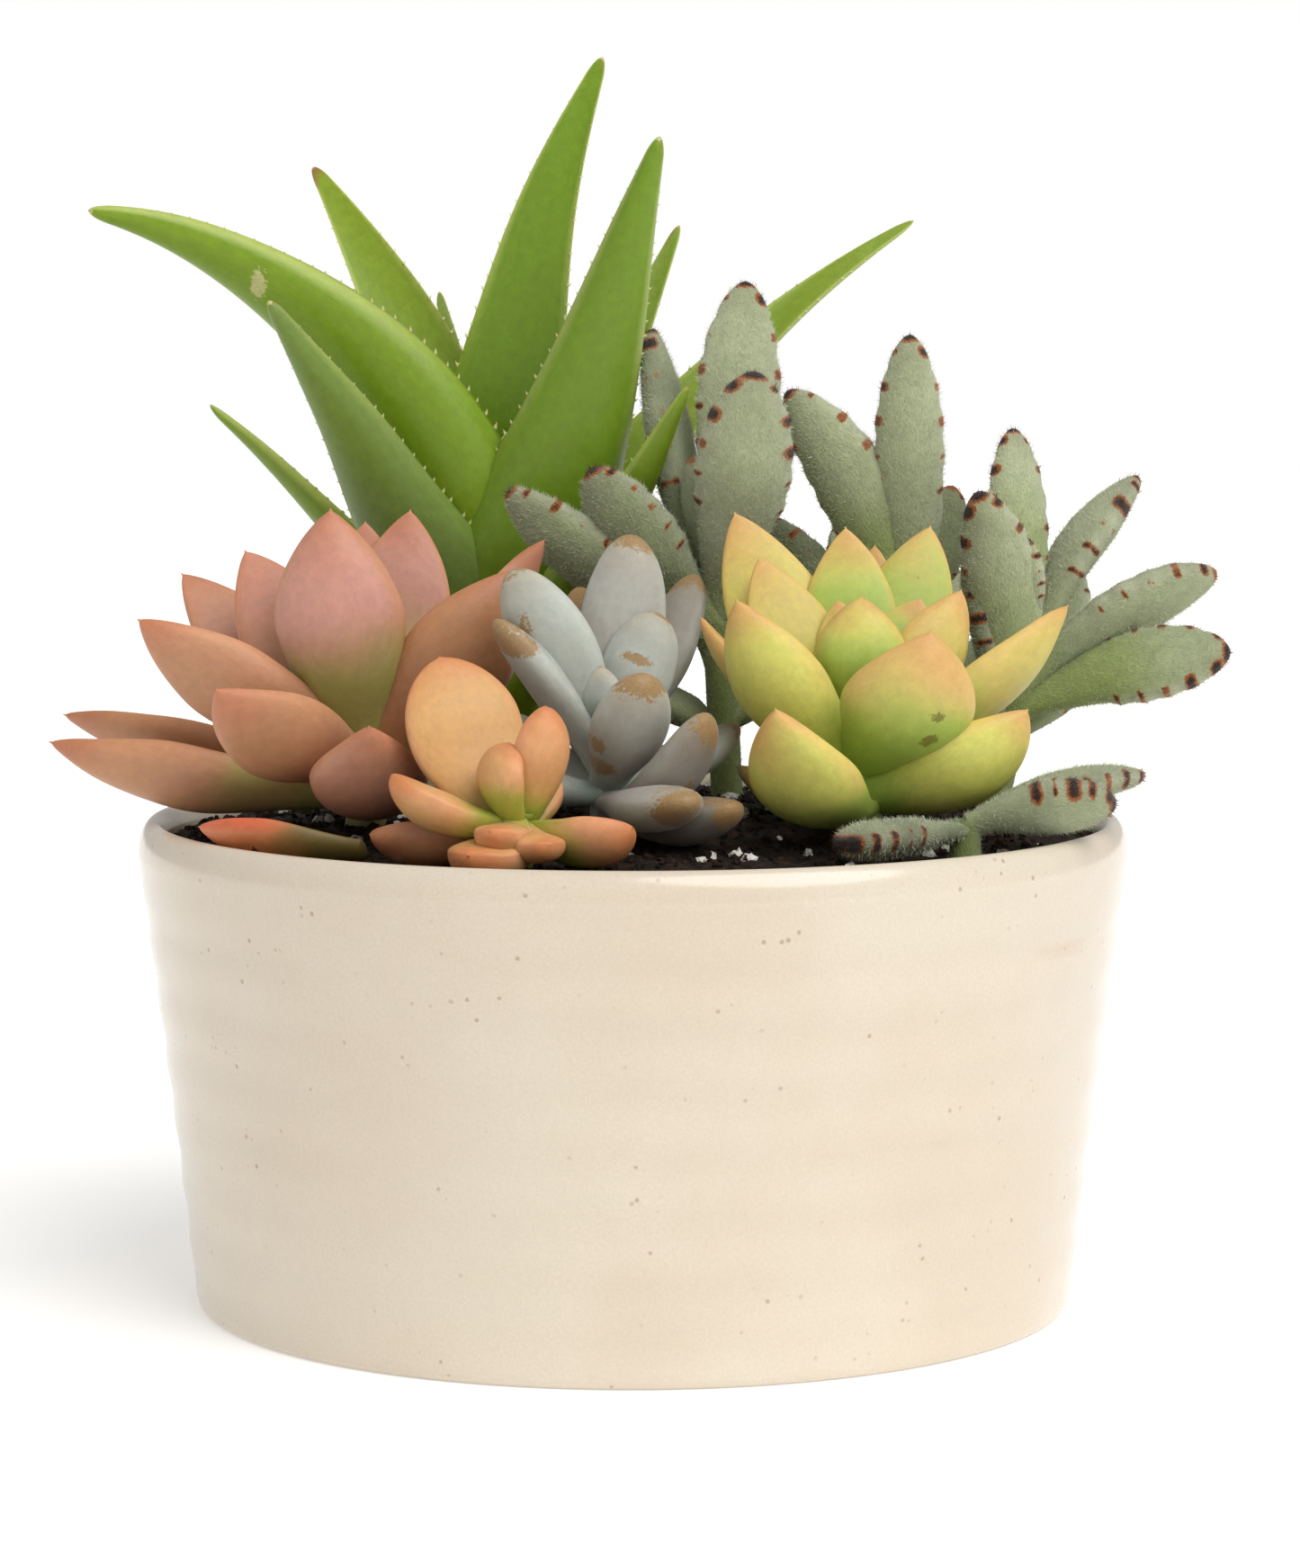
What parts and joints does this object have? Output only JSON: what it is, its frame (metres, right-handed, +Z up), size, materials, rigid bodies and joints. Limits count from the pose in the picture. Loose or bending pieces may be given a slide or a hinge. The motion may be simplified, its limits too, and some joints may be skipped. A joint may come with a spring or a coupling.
{
  "type": "succulent dish garden",
  "caption": "Round tapered stoneware bowl filled with soil and planted with an aloe, fleshy rosettes and felted leafy stems, for a table or shelf.",
  "frame": {"origin": "centre of the bowl's flat base", "axes": "+Z up, -Y to the front of the arrangement, +X to the right as seen from the front"},
  "size_m": [0.1958, 0.1869, 0.2094],
  "materials": {
    "glazed_stoneware": "glossy warm beige glaze with fine darker speckle over throwing ridges",
    "potting_soil": "rough dark potting mix with white perlite and bark crumbs",
    "aloe_leaf": "bright green smooth skin with small pale teeth and brown tips",
    "copper_leaf": "waxy matte skin, lime at the root to copper and mauve-pink",
    "orange_leaf": "waxy matte skin, lime at the root to orange and coral",
    "powdery_leaf": "blue-grey powdery bloom rubbed to olive brown at tips",
    "golden_leaf": "waxy matte skin, lime and yellow with pink-orange tips",
    "felted_leaf": "grey-green velvet of short white hairs, brown edge spots",
    "red_leaf": "waxy matte skin, red-orange with a pale green root"
  },
  "bodies": {
    "root": {"bowl": "glazed_stoneware", "soil": "potting_soil", "aloe": "aloe_leaf", "copper_sedum": "copper_leaf", "orange_sedum": "orange_leaf", "blue_pachyphytum": "powdery_leaf", "golden_sedum": "golden_leaf", "kalanchoe_left": "felted_leaf", "kalanchoe_middle": "felted_leaf", "kalanchoe_right": "felted_leaf", "kalanchoe_low": "felted_leaf", "fallen_leaf": "red_leaf"}
  },
  "joints": []
}
